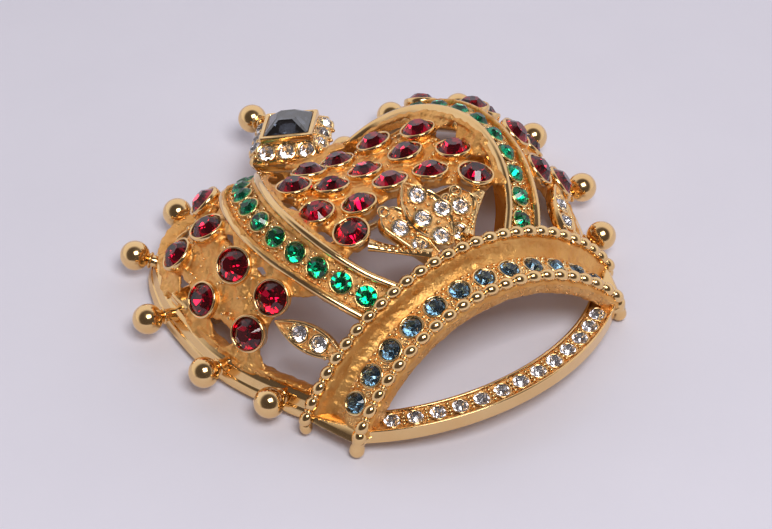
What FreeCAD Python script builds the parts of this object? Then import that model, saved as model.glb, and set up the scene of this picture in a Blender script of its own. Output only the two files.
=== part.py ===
"""Crown brooch: a half-round openwork crown, cast and gold plated, set with foiled rhinestones.

The brooch lies on its back. X runs across the crown, Y towards its orb, Z out through its front.
Every piece is drawn about the ball plane, the level of the small balls round the edge, and is
placed so that the feet stand on Z = 0 and the outline is centred on the origin.
All sizes are millimetres.
"""
import FreeCAD, Part
import math
import os

V = FreeCAD.Vector

# ---- Driving dimensions ------------------------------------------------------------------
STAND = 3.2                # ball plane above the surface that the brooch lies on

RED_R = 2.02               # stone sizes: SS17 in the cups, PP19 in the arches,
GREEN_R = 1.30             # PP18 in the circlet, PP14 for the small clear ones
BLUE_R = 1.25
CLEAR_R = 1.02
SEAT_GAP = 0.03            # a seat is this much larger than its stone

BALL_R = 1.93              # edge balls and the finial
NECK_R = 0.8
NECK_FOOT_Z = -0.6
EDGE_BALLS = [(25.7, -12.0), (29.5, -3.2), (30.4, 8.6), (25.8, 19.4), (17.1, 23.2), (7.9, 20.9)]
RIM_AT_BALLS = [(22.9, -11.3), (26.3, -3.0), (26.7, 8.0), (23.6, 16.9), (16.2, 20.3), (8.2, 18.0)]
FINIAL = V(0, 31.5, 2.0)

# The rim: a bevelled ridge with a wall that slopes out and down from it, around each lobe.
RIM_PATH = [(20.6, -16.0), (22.6, -12.0), (25.2, -6.2), (26.7, -0.5), (26.9, 5.0), (26.2, 11.5),
            (23.8, 17.0), (19.6, 20.0), (14.2, 20.0), (9.0, 18.4), (3.6, 17.4)]
RIM_PROFILE = [(-1.4, 0.8), (-1.4, -0.5), (0.3, -2.4), (1.4, -2.4), (0.9, -1.3), (0.7, -1.2),
               (0.2, 0.0), (-0.2, 0.15)]

# The arches: two smooth rails with a sunk channel of green stones between them.
ARCH_INNER = [(8.2, -14.6, 11.6), (10.9, -11.4, 12.9), (13.2, -7.3, 14.4), (14.6, -2.6, 15.4),
              (14.9, 2.4, 15.5), (13.7, 7.7, 14.4), (11.6, 12.1, 12.1), (8.9, 15.6, 8.6),
              (4.8, 17.7, 4.6)]
ARCH_OUTER = [(12.6, -15.2, 8.8), (15.3, -11.2, 10.6), (17.6, -6.2, 11.9), (19.0, -0.9, 12.4),
              (19.2, 4.4, 12.5), (18.1, 9.3, 11.9), (15.9, 13.6, 10.0), (12.4, 16.9, 7.0),
              (6.6, 18.9, 3.4)]
ARCH_DEPTH = 2.4
CHANNEL_DEPTH = 0.9
RAIL = 0.5                 # half the width of a rail
GREEN_COUNT = 11
GREEN_FIRST, GREEN_LAST = 2.7, 5.1      # from the arch's two ends to the first and last stone

# The circlet: an arch in X and Z whose sides lean back as they rise.
HUB_Z = -13.6              # centre of the circlet's curve, below the ball plane
BAND_END_Z = -0.7
BAND_PROFILE = [(-13.9, 12.7), (-14.9, 12.8), (-16.4, 10.6), (-19.7, 10.3), (-20.0, 10.6),
                (-20.9, 10.5), (-21.2, 8.6), (-20.2, 8.5), (-16.2, 9.0), (-13.9, 11.0)]
END_CORNERS = [0, 1, 5, 6, 7, 8]          # the profile's corners that an end plate joins
LEAN_AT_TOP = 0.147        # Y lost per unit of height at the upper edge, and how fast the
LEAN_GROWTH = 0.0155       # lean grows towards the lower edge
UPPER_EDGE = (-14.4, 13.2)
LOWER_EDGE = (-20.4, 10.9)
BLUE_LINE = (-18.0, 10.6)
UPPER_BEADS, UPPER_BEAD_END = 28, -0.4
LOWER_BEADS, LOWER_BEAD_END = 22, 1.3
BEAD_R = 0.88
BLUE_COUNT, BLUE_END = 12, 2.2
END_PLATE = 0.45           # thickness of the plate that closes each end of the circlet
FOOT_X, FOOT_Y, FOOT_R = 20.2, -22.7, 0.95

# The crescent: the front of the crown's open base, set with clear stones.
CRESCENT_R = 28.3
CRESCENT_Z = 2.4
CRESCENT_DROP = 1.4 / 15.3 ** 2
CRESCENT_HALF = 1.7
CRESCENT_WALL = 1.9
CRESCENT_SPAN = 42.0       # degrees each way
CRESCENT_COUNT = 13
CRESCENT_PITCH = 5.6       # degrees

# Cups: place and outward direction of each red stone's girdle.
LOBE_CUPS = [((20.5, -5.0, 9.2), (0.69, -0.36, 0.63)), ((24.1, -5.1, 5.2), (0.78, -0.30, 0.54)),
             ((21.7, 1.6, 10.1), (0.68, -0.25, 0.69)), ((25.4, 3.3, 4.9), (0.82, -0.02, 0.56)),
             ((20.5, 9.7, 9.6), (0.27, 0.33, 0.91)), ((24.0, 11.6, 5.4), (0.55, 0.40, 0.73)),
             ((17.1, 16.1, 7.4), (0.45, 0.62, 0.65))]
LOBE_WEBS = [(0, 1), (0, 2), (1, 3), (2, 3), (2, 4), (3, 5), (4, 5), (4, 6), (5, 6)]
LOBE_TO_RIM = {1: (25.2, -6.0, 0.3), 3: (26.4, 4.2, 0.4), 5: (25.2, 13.0, 0.3), 6: (18.4, 19.8, 0.2)}
LOBE_TO_ARCH = {0: (18.0, -5.6, 11.0), 2: (19.0, 1.6, 11.6), 4: (18.2, 8.8, 11.2), 6: (14.9, 14.9, 8.0)}

PANEL_SIDE = [((9.4, -5.9, 14.8), (0.22, 0.02, 0.97)), ((10.4, 0.1, 14.1), (0.10, 0.22, 0.97)),
              ((9.5, 6.6, 13.1), (-0.05, 0.34, 0.94)), ((5.4, -1.8, 14.3), (0.08, 0.30, 0.95)),
              ((5.6, 3.9, 13.1), (-0.10, 0.40, 0.91)), ((5.0, 10.0, 10.7), (-0.14, 0.46, 0.88))]
PANEL_MIDDLE = [((0, -0.8, 14.6), (0, 0.38, 0.92)), ((0, 4.7, 12.2), (0, 0.45, 0.89)),
                ((0, 11.0, 9.2), (0, 0.48, 0.88))]
PANEL_WEBS = [(0, 1), (1, 2), (0, 3), (1, 3), (1, 4), (3, 4), (2, 4), (2, 5), (4, 5), (3, 12),
              (4, 12), (4, 13), (5, 13), (5, 14)]
PANEL_SPINE = [(12, 13), (13, 14)]
PANEL_TO_ARCH = {0: (12.3, -7.4, 14.0), 1: (13.8, 0.2, 14.4), 2: (12.9, 7.4, 13.4), 5: (9.4, 13.2, 10.0)}
PANEL_TO_ORB = (0, 15.5, 6.2)
CUP_R = 2.4
CUP_ABOVE = 0.25           # the cup's lip stands this far over the stone's girdle
CUP_BELOW = 1.8
WEB_R = 0.62

# The orb: a square stone in a frame over a flared skirt.
ORB_AT = V(0, 22.4, 7.5)
ORB_TURN = -40.0
ORB_TILT = 16.0            # its face leans back towards the finial
ORB_STONE = 5.9
ORB_TABLE = 2.7            # its flat top, this high over the frame
ORB_CROWN = 1.35
ORB_FRAME = 7.0
ORB_SEAT, ORB_CULET = 1.6, 2.0           # depth of the stone's seat, and width of its floor
ORB_GIRDLE = (0.1, -0.4)   # top and bottom of the stone's upright edge
ORB_SMALL = (2.7, -4.35, -1.75)          # spacing, reach and height of the small stones on a side
ORB_SMALL_OUT = V(0, -0.62, 0.78)
FINIAL_FOOT = V(0, 6.2, -4.5)
FINIAL_NECK_R = 1.05
ORB_SKIRT = [(-0.9, 7.2), (-2.2, 9.6), (-3.0, 10.2), (-4.2, 9.4), (-5.4, 7.4), (-8.6, 6.0)]

# The fleuron at the circlet's middle, and the leaf on each lobe.
FLEURON_AT = V(0, -9.0, 14.9)
FLEURON_PITCH = 24.0       # degrees of rise towards the orb
FLEURON_STONES = [(-0.1, 2.9, 0.5), (1.8, 0, 0.5), (-1.2, -0.1, 0.5), (-0.4, -3.1, 0.5), (4.3, -0.6, 0),
                  (-4.2, 0.15, 0), (2.3, -3.45, 0), (-3.2, -2.9, 0)]
FLEURON_LEAVES = [(0.4, -4.6, 0.5, 97.5, 9.7, 5.8), (1.4, -5.1, 0, 55, 7.5, 4.4), (-2.3, -5.0, 0, 107, 8.4, 4.2)]
FLEURON_THICK = 1.3
LEAF_STONES = [V(20.0, -10.2, 7.1), V(18.9, -12.8, 6.8)]
LEAF_ROOT = V(17.4, -16.1, 6.3)
LEAF_TIP = V(21.4, -7.1, 7.5)
LEAF_OUT = (0.66, -0.30, 0.69)
LEAF_WIDTH = 3.5
LEAF_THICK = 1.2

# The pin: a hinged stem across the back that shuts in a catch with a turning lock.
PIN_Y = 7.6
PIN_Z = 1.88 - STAND       # stem axis; the barrel's two lips reach down to the surface
STEM_R = 0.48
HINGE_X = 20.0
CATCH_X = -21.0
RIVET_R = 0.5
RUNNING = 0.04             # radial clearance of everything that turns
KNUCKLE_R = 1.35
KNUCKLE_HALF = 0.85
EAR_T = 0.6
EAR_R = 1.88               # the ears reach the surface too
CATCH_R = 2.0
CATCH_BORE = 1.45
CATCH_HALF = 1.2
ROTOR_BORE = 0.62
SLOT_HALF = 0.68
TAB_Z = (0.9, 1.7)         # lugs cast inside the rim that carry the pin's two ends
TAB_X = (17.8, 26.4)
TAB_WIDTH = 3.6            # along Y, of the lugs and of the plates under them
TAB_DROP = V(25.8, PIN_Y, 0.5)           # the lug's outer end thickens into the rim's wall
TAB_DROP_SIZE = (1.4, TAB_WIDTH, 1.6)
BASE_T = 0.5
HINGE_PLATE = 4.4
CATCH_PLATE = 1.8          # the catch's plate reaches this far inwards past the barrel
CATCH_NECK = 1.6
RIVET_HEAD = [(0, 0), (0.85, 0), (0.6, 0.35), (0, 0.45)]
BORE_CUT = 6.0             # longer than anything that it cuts through
POINT_LENGTH = 3.5
POINT_R = 0.08
POINT_PAST = 0.6           # how far the point stands out of the catch
LOCK_OUT, LOCK_IN = 1.0, 0.3             # the lock's ends past the barrel's
LOCK_SLOT = 0.62
COLLAR_R = 1.75
COLLAR_GAP = 0.1
LEVER_AT, LEVER_SIZE = 2.2, (0.9, 1.9, 0.8)


# The outline runs from the crescent's outer edge to the far side of the finial.
CENTRE_Y = (FINIAL.y + BALL_R - CRESCENT_R - CRESCENT_HALF) / 2.0


# ---- Geometry helpers --------------------------------------------------------------------
def loft(sections, ruled=False):
    """A solid through closed polygons that have the same number of corners."""
    wires = [Part.makePolygon(corners + [corners[0]]) for corners in sections]
    return Part.makeLoft(wires, True, ruled)


def cross_loft(stations, profile):
    """A profile of (across, up) pairs carried through (origin, across, up) stations."""
    return loft([[o + a * x + u * h for x, h in profile] for o, a, u in stations])


def unit(vector):
    return V(*vector).normalize()


def mirrored(shape):
    return shape.mirror(V(0, 0, 0), V(1, 0, 0))


def mirrored_point(point):
    return V(-point[0], point[1], point[2])


def fused(shapes):
    return shapes[0].multiFuse(shapes[1:]).removeSplitter()


def rod(start, end, radius):
    start = V(*start)
    end = V(*end)
    return Part.makeCylinder(radius, (end - start).Length, start, end - start)


def block(centre, sizes):
    """A box given by its centre and its three sizes."""
    corner = V(*[c - s / 2.0 for c, s in zip(centre, sizes)])
    return Part.makeBox(sizes[0], sizes[1], sizes[2], corner)


def turned(outline, centre, direction):
    """A solid of revolution from (radius, height) pairs, its height along direction."""
    edge = Part.makePolygon([V(r, 0, h) for r, h in outline] + [V(outline[0][0], 0, outline[0][1])])
    solid = Part.Face(edge).revolve(V(0, 0, 0), V(0, 0, 1), 360)
    turn = FreeCAD.Rotation(V(0, 0, 1), direction)
    solid.Placement = FreeCAD.Placement(centre, turn)
    return solid


# ---- Stones and their seats --------------------------------------------------------------
def round_stone(radius, centre, direction):
    """A chaton: a flat table, a sloping crown, a thin girdle and a pointed back."""
    outline = [(0, 0.44 * radius), (0.55 * radius, 0.44 * radius), (radius, 0.06 * radius),
               (radius, -0.06 * radius), (0.12 * radius, -0.80 * radius), (0, -0.80 * radius)]
    return turned(outline, centre, direction)


def stone_seat(radius, centre, direction):
    """What is cut from the metal under a round stone, open at the front."""
    r = radius + SEAT_GAP
    outline = [(0, 1.2 * r), (r, 1.2 * r), (r, -0.06 * r), (0.12 * r, -0.80 * r - SEAT_GAP),
               (0, -0.80 * r - SEAT_GAP)]
    return turned(outline, centre, direction)


def set_stones(metal, radius, places):
    """Cuts a seat for each (centre, direction) and returns the metal and its stones."""
    metal = metal.cut(Part.makeCompound([stone_seat(radius, c, d) for c, d in places]))
    return metal, Part.makeCompound([round_stone(radius, c, d) for c, d in places])


# ---- Rim and balls -----------------------------------------------------------------------
def rim():
    """The bevelled wall round the right lobe, with the lug that carries the pin."""
    path = Part.BSplineCurve()
    path.interpolate([V(x, y, 0) for x, y in RIM_PATH])
    steps = 16
    stations = []
    for k in range(steps + 1):
        t = path.FirstParameter + (path.LastParameter - path.FirstParameter) * k / steps
        along = V(*path.tangent(t)[0])
        stations.append((path.value(t), V(along.y, -along.x, 0), V(0, 0, 1)))
    wall = cross_loft(stations, RIM_PROFILE)
    lug = block((sum(TAB_X) / 2, PIN_Y, sum(TAB_Z) / 2), (TAB_X[1] - TAB_X[0], TAB_WIDTH, TAB_Z[1] - TAB_Z[0]))
    return fused([wall, lug, block(TAB_DROP, TAB_DROP_SIZE)])


def edge_balls():
    """Six balls, each on a short neck out of the rim's wall."""
    balls = []
    for (x, y), (rx, ry) in zip(EDGE_BALLS, RIM_AT_BALLS):
        centre = V(x, y, 0)
        foot = V(rx, ry, NECK_FOOT_Z)
        neck = rod(foot, centre, NECK_R)
        balls.append(fused([Part.makeSphere(BALL_R, centre), neck]))
    return Part.makeCompound(balls)


def finial():
    """The ball behind the orb, on a neck out of the skirt's back corner."""
    neck = rod(ORB_AT + FINIAL_FOOT, FINIAL, FINIAL_NECK_R)
    return fused([Part.makeSphere(BALL_R, FINIAL), neck])


# ---- Arches ------------------------------------------------------------------------------
def arch_stations():
    """Stations from the circlet to the orb: inner rail crest, across, outward, rail spacing."""
    inner = [V(*p) for p in ARCH_INNER]
    outer = [V(*p) for p in ARCH_OUTER]
    middle = [(a + b) * 0.5 for a, b in zip(inner, outer)]
    stations = []
    for k, (a, b) in enumerate(zip(inner, outer)):
        ahead = middle[min(k + 1, len(middle) - 1)] - middle[max(k - 1, 0)]
        across = (b - a).normalize()
        out = across.cross(ahead).normalize()
        if out.z < 0:
            out = out * -1
        stations.append((a, across, out, (b - a).Length))
    return stations


def arch():
    sections = []
    for crest, across, out, width in arch_stations():
        half = [(-RAIL - 0.1, -ARCH_DEPTH), (-RAIL - 0.1, -0.5), (-0.25, 0.0), (0.2, 0.0),
                (RAIL, -0.4), (RAIL + 0.05, -CHANNEL_DEPTH)]
        profile = half + [(width - x, h) for x, h in reversed(half)]
        sections.append([crest + across * x + out * h for x, h in profile])
    return loft(sections)


def arch_stones():
    """Evenly spaced places along the channel's floor."""
    stations = arch_stations()
    line = Part.BSplineCurve()
    line.interpolate([c + a * (w / 2) - o * (CHANNEL_DEPTH - 0.35) for c, a, o, w in stations])
    outward = Part.BSplineCurve()
    outward.interpolate([V(*o) for _, _, o, _ in stations], Parameters=list(line.getKnots()))
    first = line.parameterAtDistance(GREEN_FIRST, line.FirstParameter)
    last = line.parameterAtDistance(line.length() - GREEN_LAST, line.FirstParameter)
    run = line.length(first, last)
    places = []
    for k in range(GREEN_COUNT):
        t = line.parameterAtDistance(run * k / (GREEN_COUNT - 1), first)
        places.append((line.value(t), V(*outward.value(t)).normalize()))
    return places


# ---- Circlet -----------------------------------------------------------------------------
def band_point(edge, angle):
    """A point of the circlet's surface: edge is its (Y, Z) at the top, angle is from the top."""
    y, z = edge
    radius = z - HUB_Z
    lean = LEAN_AT_TOP + LEAN_GROWTH * (UPPER_EDGE[0] - y)
    rise = radius * math.cos(angle)
    return V(radius * math.sin(angle), y - lean * (radius - rise), HUB_Z + rise)


def band_limit(edge, level=BAND_END_Z):
    return math.acos((level - HUB_Z) / (edge[1] - HUB_Z))


def band_normal(edge, angle, tilt):
    """Outward direction there; tilt turns it from straight up the radius towards -Y."""
    up = V(math.sin(angle), 0, math.cos(angle))
    return (up * math.cos(tilt) + V(0, -1, 0) * math.sin(tilt)).normalize()


def circlet():
    steps = 16
    sections = []
    for k in range(steps + 1):
        share = 2.0 * k / steps - 1.0
        sections.append([band_point(e, share * band_limit(e)) for e in BAND_PROFILE])
    return fused([loft(sections)] + end_plates())


def end_plates():
    """A thin plate across each end, which fills the corner between the wall and the floor."""
    outline = [BAND_PROFILE[k] for k in END_CORNERS]
    plates = []
    for side in (-1, 1):
        faces = []
        for level in (BAND_END_Z, BAND_END_Z + END_PLATE):
            faces.append([band_point(e, side * band_limit(e, level)) for e in outline])
        plates.append(loft(faces, True))
    return plates


def bead_row(edge, count, level):
    """A row of beads along one edge of the circlet."""
    limit = band_limit(edge, level)
    beads = []
    for k in range(count):
        angle = limit * (2.0 * k / (count - 1) - 1.0)
        beads.append(Part.makeSphere(BEAD_R, band_point(edge, angle)))
    return Part.makeCompound(beads)


def blue_places():
    limit = band_limit(BLUE_LINE, BLUE_END)
    angles = [limit * (2.0 * k / (BLUE_COUNT - 1) - 1.0) for k in range(BLUE_COUNT)]
    return [(band_point(BLUE_LINE, a), band_normal(BLUE_LINE, a, 0.12)) for a in angles]


def feet():
    """The round-ended posts in which the lower bead row ends; the brooch stands on them."""
    posts = []
    for side in (-1, 1):
        low = V(side * FOOT_X, FOOT_Y, -STAND + FOOT_R)
        high = V(side * (FOOT_X - 0.4), FOOT_Y, -0.1)
        ends = [Part.makeSphere(FOOT_R, low), Part.makeSphere(FOOT_R, high)]
        posts.append(fused(ends + [rod(low, high, FOOT_R)]))
    return Part.makeCompound(posts)


# ---- Crescent ----------------------------------------------------------------------------
def crescent_point(angle):
    x = CRESCENT_R * math.sin(angle)
    return V(x, -CRESCENT_R * math.cos(angle), CRESCENT_Z - CRESCENT_DROP * x * x)


def crescent():
    half, lip, floor = CRESCENT_HALF, 0.35, -0.15
    side = [(half, -CRESCENT_WALL), (half, 0.15), (half - lip, 0.15), (half - lip - 0.05, floor)]
    profile = side + [(-x, h) for x, h in reversed(side)]
    steps = 14
    stations = []
    for k in range(steps + 1):
        angle = math.radians(CRESCENT_SPAN) * (2.0 * k / steps - 1.0)
        stations.append((crescent_point(angle), V(math.sin(angle), -math.cos(angle), 0), V(0, 0, 1)))
    return cross_loft(stations, profile)


def crescent_places():
    middle = (CRESCENT_COUNT - 1) / 2.0
    angles = [math.radians(CRESCENT_PITCH) * (k - middle) for k in range(CRESCENT_COUNT)]
    return [(crescent_point(a), V(0, 0, 1)) for a in angles]


# ---- Openwork of cups and webs -----------------------------------------------------------
def cup(centre, direction):
    outline = [(0, CUP_ABOVE), (CUP_R - 0.1, CUP_ABOVE), (CUP_R, CUP_ABOVE - 0.15),
               (CUP_R, -0.6), (CUP_R - 0.5, -CUP_BELOW), (0, -CUP_BELOW)]
    return turned(outline, centre, direction)


def openwork(cups, webs, anchors):
    """Cups joined by round webs below their lips, and webs from a cup to an anchor point."""
    places = [(V(*c), unit(d)) for c, d in cups]
    low = [c - d * 1.1 for c, d in places]
    pieces = [cup(c, d) for c, d in places]
    pieces += [rod(low[a], low[b], WEB_R) for a, b in webs]
    pieces += [rod(low[k], point, WEB_R) for k, point in anchors]
    return set_stones(fused(pieces), RED_R, places)


def lobe():
    anchors = list(LOBE_TO_RIM.items()) + list(LOBE_TO_ARCH.items())
    return openwork(LOBE_CUPS, LOBE_WEBS, anchors)


def panel():
    """Both sides of the middle panel and the column of cups between them."""
    far_side = [(tuple(mirrored_point(c)), tuple(mirrored_point(d))) for c, d in PANEL_SIDE]
    cups = PANEL_SIDE + far_side + PANEL_MIDDLE
    side = len(PANEL_SIDE)
    webs = list(PANEL_SPINE)
    for a, b in PANEL_WEBS:
        webs += [(a, b), (a + side, b if b >= 2 * side else b + side)]
    anchors = [(len(cups) - 1, PANEL_TO_ORB)]
    for k, point in PANEL_TO_ARCH.items():
        anchors += [(k, point), (k + side, mirrored_point(point))]
    return openwork(cups, webs, anchors)


# ---- Orb ---------------------------------------------------------------------------------
def orb_frame():
    lean = FreeCAD.Rotation(V(1, 0, 0), -ORB_TILT)
    turn = FreeCAD.Rotation(V(0, 0, 1), ORB_TURN)
    return FreeCAD.Placement(ORB_AT, lean.multiply(turn))


def square(side, height):
    h = side / 2.0
    return [V(-h, -h, height), V(h, -h, height), V(h, h, height), V(-h, h, height)]


def orb():
    """The framed box and skirt, its square stone, and three small stones on each side."""
    levels = [(0.0, ORB_FRAME)] + ORB_SKIRT
    body = fused([loft([square(a[1], a[0]), square(b[1], b[0])], True)
                  for a, b in zip(levels, levels[1:])])
    mouth = ORB_STONE + 2 * SEAT_GAP
    high, low = ORB_GIRDLE
    seat = loft([square(mouth, ORB_CROWN), square(mouth, low - SEAT_GAP)], True)
    point = loft([square(mouth, low - SEAT_GAP), square(ORB_CULET, -ORB_SEAT)], True)
    body = body.cut(seat).cut(point)
    stone = fused([loft([square(ORB_TABLE, ORB_CROWN), square(ORB_STONE, high)], True),
                   loft([square(ORB_STONE, high), square(ORB_STONE, low)], True),
                   loft([square(ORB_STONE, low), square(ORB_CULET, SEAT_GAP - ORB_SEAT)], True)])
    places = []
    spacing, reach, height = ORB_SMALL
    for quarter in range(4):
        spin = FreeCAD.Rotation(V(0, 0, 1), 90.0 * quarter)
        for k in (-1, 0, 1):
            places.append((spin.multVec(V(spacing * k, reach, height)), spin.multVec(ORB_SMALL_OUT)))
    body, small = set_stones(body, CLEAR_R, places)
    for shape in (body, stone, small):
        shape.Placement = orb_frame().multiply(shape.Placement)
    return body, stone, small


# ---- Fleuron and leaves ------------------------------------------------------------------
def leaf_face(x, y, z, heading, length, width):
    """A flat pointed leaf, from its root at (x, y, z)."""
    along = V(math.cos(math.radians(heading)), math.sin(math.radians(heading)), 0)
    side = V(-along.y, along.x, 0)
    root = V(x, y, z)
    tip = root + along * length
    belly = root + along * (0.55 * length)
    edges = [Part.Arc(root, belly + side * (width / 2), tip).toShape(),
             Part.Arc(tip, belly - side * (width / 2), root).toShape()]
    return Part.Face(Part.Wire(edges))


def fleuron():
    """Three leaves spread from the circlet's middle, set with eight small stones."""
    leaves = [leaf_face(*leaf).extrude(V(0, 0, -FLEURON_THICK - leaf[2])) for leaf in FLEURON_LEAVES]
    places = [(V(*place), V(0, 0, 1)) for place in FLEURON_STONES]
    plate, stones = set_stones(fused(leaves), CLEAR_R, places)
    place = FreeCAD.Placement(FLEURON_AT, FreeCAD.Rotation(V(1, 0, 0), FLEURON_PITCH))
    plate.Placement = place
    stones.Placement = place
    return plate, stones


def side_leaf():
    """The leaf that rises from the circlet onto the lobe, with two small stones."""
    along = LEAF_TIP - LEAF_ROOT
    length = along.Length
    along.normalize()
    out = unit(LEAF_OUT)
    side = out.cross(along).normalize()
    out = along.cross(side).normalize()
    axes = FreeCAD.Matrix(along.x, side.x, out.x, LEAF_ROOT.x, along.y, side.y, out.y, LEAF_ROOT.y,
                          along.z, side.z, out.z, LEAF_ROOT.z, 0, 0, 0, 1)
    blade = leaf_face(0, 0, 0, 0, length, LEAF_WIDTH).extrude(V(0, 0, -LEAF_THICK))
    blade.Placement = FreeCAD.Placement(axes)
    places = []
    for stone in LEAF_STONES:
        height = (stone - LEAF_ROOT).dot(out)
        places.append((stone - out * height, out))
    return set_stones(blade, CLEAR_R, places)


# ---- Pin ---------------------------------------------------------------------------------
def hinge_bracket():
    """A plate under the right lug with two ears for the rivet."""
    top = TAB_Z[0]
    plate = block((HINGE_X, PIN_Y, top - BASE_T / 2), (HINGE_PLATE, TAB_WIDTH, BASE_T))
    ears = []
    for side in (-1, 1):
        y = PIN_Y + side * (KNUCKLE_HALF + RUNNING + EAR_T / 2)
        web_top = top - BASE_T / 2
        ears.append(block((HINGE_X, y, (web_top + PIN_Z) / 2), (2 * EAR_R - 0.4, EAR_T, web_top - PIN_Z)))
        ears.append(Part.makeCylinder(EAR_R, EAR_T, V(HINGE_X, y - EAR_T / 2, PIN_Z), V(0, 1, 0)))
    bore = Part.makeCylinder(RIVET_R, BORE_CUT, V(HINGE_X, PIN_Y - BORE_CUT / 2, PIN_Z), V(0, 1, 0))
    return fused([plate] + ears).cut(bore)


def rivet():
    """The hinge's rivet, held by the ears, with a domed head outside each."""
    reach = KNUCKLE_HALF + RUNNING + EAR_T
    parts = [Part.makeCylinder(RIVET_R, 2 * reach, V(HINGE_X, PIN_Y - reach, PIN_Z), V(0, 1, 0))]
    for side in (-1, 1):
        parts.append(turned(RIVET_HEAD, V(HINGE_X, PIN_Y + side * reach, PIN_Z), V(0, side, 0)))
    return fused(parts)


def pin_stem():
    """Knuckle, straight stem and its ground point."""
    knuckle = Part.makeCylinder(KNUCKLE_R, 2 * KNUCKLE_HALF, V(HINGE_X, PIN_Y - KNUCKLE_HALF, PIN_Z), V(0, 1, 0))
    shoulder = CATCH_X - CATCH_HALF - POINT_PAST + POINT_LENGTH
    stem = rod((HINGE_X - KNUCKLE_HALF, PIN_Y, PIN_Z), (shoulder, PIN_Y, PIN_Z), STEM_R)
    point = Part.makeCone(STEM_R, POINT_R, POINT_LENGTH, V(shoulder, PIN_Y, PIN_Z), V(-1, 0, 0))
    hole = RIVET_R + RUNNING
    bore = Part.makeCylinder(hole, BORE_CUT, V(HINGE_X, PIN_Y - BORE_CUT / 2, PIN_Z), V(0, 1, 0))
    return fused([knuckle, stem, point]).cut(bore)


def slotted_ring(outer, inner, x_from, x_to, slot_half):
    """A ring about the stem's axis with a slot that opens downwards."""
    start = V(x_from, PIN_Y, PIN_Z)
    ring = Part.makeCylinder(outer, x_to - x_from, start, V(1, 0, 0))
    ring = ring.cut(Part.makeCylinder(inner, x_to - x_from, start, V(1, 0, 0)))
    slot = Part.makeBox(x_to - x_from, 2 * slot_half, outer + 1, V(x_from, PIN_Y - slot_half, PIN_Z - outer - 1))
    return ring.cut(slot)


def catch():
    """A plate under the left lug with the slotted barrel that the stem shuts into."""
    top = TAB_Z[0]
    plate = block((CATCH_X + CATCH_PLATE / 2, PIN_Y, top - BASE_T / 2),
                  (2 * CATCH_HALF + CATCH_PLATE, TAB_WIDTH, BASE_T))
    barrel = slotted_ring(CATCH_R, CATCH_BORE, CATCH_X - CATCH_HALF, CATCH_X + CATCH_HALF, SLOT_HALF)
    neck_low = PIN_Z + CATCH_BORE
    neck_high = top - BASE_T / 2
    neck = block((CATCH_X, PIN_Y, (neck_low + neck_high) / 2), (2 * CATCH_HALF, CATCH_NECK, neck_high - neck_low))
    bore = Part.makeCylinder(CATCH_BORE, 3 * CATCH_HALF, V(CATCH_X - 1.5 * CATCH_HALF, PIN_Y, PIN_Z), V(1, 0, 0))
    return fused([plate, barrel, neck]).cut(bore)


def catch_lock():
    """The lock that turns inside the barrel, with its collar and lever at the outer end."""
    inside = CATCH_BORE - RUNNING
    low = CATCH_X - CATCH_HALF - LOCK_OUT
    high = CATCH_X + CATCH_HALF + LOCK_IN
    body = slotted_ring(inside, ROTOR_BORE, low, high, LOCK_SLOT)
    collar = slotted_ring(COLLAR_R, ROTOR_BORE, low, CATCH_X - CATCH_HALF - COLLAR_GAP, LOCK_SLOT)
    lever = block((low + LEVER_SIZE[0] / 2, PIN_Y - LEVER_AT, PIN_Z), LEVER_SIZE)
    return fused([body, collar, lever])


# ---- Assembly ----------------------------------------------------------------------------
def build():
    nodes = {}
    right_rim = rim()
    nodes["right_rim"] = right_rim
    nodes["left_rim"] = mirrored(right_rim)
    balls = edge_balls()
    nodes["right_edge_balls"] = balls
    nodes["left_edge_balls"] = mirrored(balls)
    nodes["finial_ball"] = finial()

    metal, stones = set_stones(arch(), GREEN_R, arch_stones())
    nodes["right_arch"] = metal
    nodes["left_arch"] = mirrored(metal)
    nodes["right_arch_stones"] = stones
    nodes["left_arch_stones"] = mirrored(stones)

    nodes["circlet"], nodes["circlet_stones"] = set_stones(circlet(), BLUE_R, blue_places())
    nodes["upper_beads"] = bead_row(UPPER_EDGE, UPPER_BEADS, UPPER_BEAD_END)
    nodes["lower_beads"] = bead_row(LOWER_EDGE, LOWER_BEADS, LOWER_BEAD_END)
    nodes["feet"] = feet()
    nodes["crescent"], nodes["crescent_stones"] = set_stones(crescent(), CLEAR_R, crescent_places())

    metal, stones = lobe()
    nodes["right_lobe"] = metal
    nodes["left_lobe"] = mirrored(metal)
    nodes["right_lobe_stones"] = stones
    nodes["left_lobe_stones"] = mirrored(stones)
    nodes["centre_panel"], nodes["centre_panel_stones"] = panel()

    nodes["orb_mount"], nodes["orb_stone"], nodes["orb_small_stones"] = orb()
    nodes["fleuron"], nodes["fleuron_stones"] = fleuron()
    metal, stones = side_leaf()
    nodes["right_leaf"] = metal
    nodes["left_leaf"] = mirrored(metal)
    nodes["leaf_stones"] = Part.makeCompound([stones, mirrored(stones)])

    nodes["hinge_bracket"] = hinge_bracket()
    nodes["hinge_rivet"] = rivet()
    nodes["pin_stem"] = pin_stem()
    nodes["catch_barrel"] = catch()
    nodes["catch_lock"] = catch_lock()
    return nodes


def main():
    os.makedirs("parts", exist_ok=True)
    for name, shape in build().items():
        placed = shape.copy()
        placed.translate(V(0, -CENTRE_Y, STAND))
        placed.exportStep("parts/" + name + ".step")


main()
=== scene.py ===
"""Looks of the crown brooch: gold-plated openwork with foiled stones, on pale paper.

Pieces are drawn in millimetres about the ball plane, as the CAD source draws them, and PLACE
moves them into the frame. Stones and cups take their places from the CAD nodes.
"""
import math
import bmesh
import bpy
import numpy as np
from mathutils import Matrix, Vector


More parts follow.
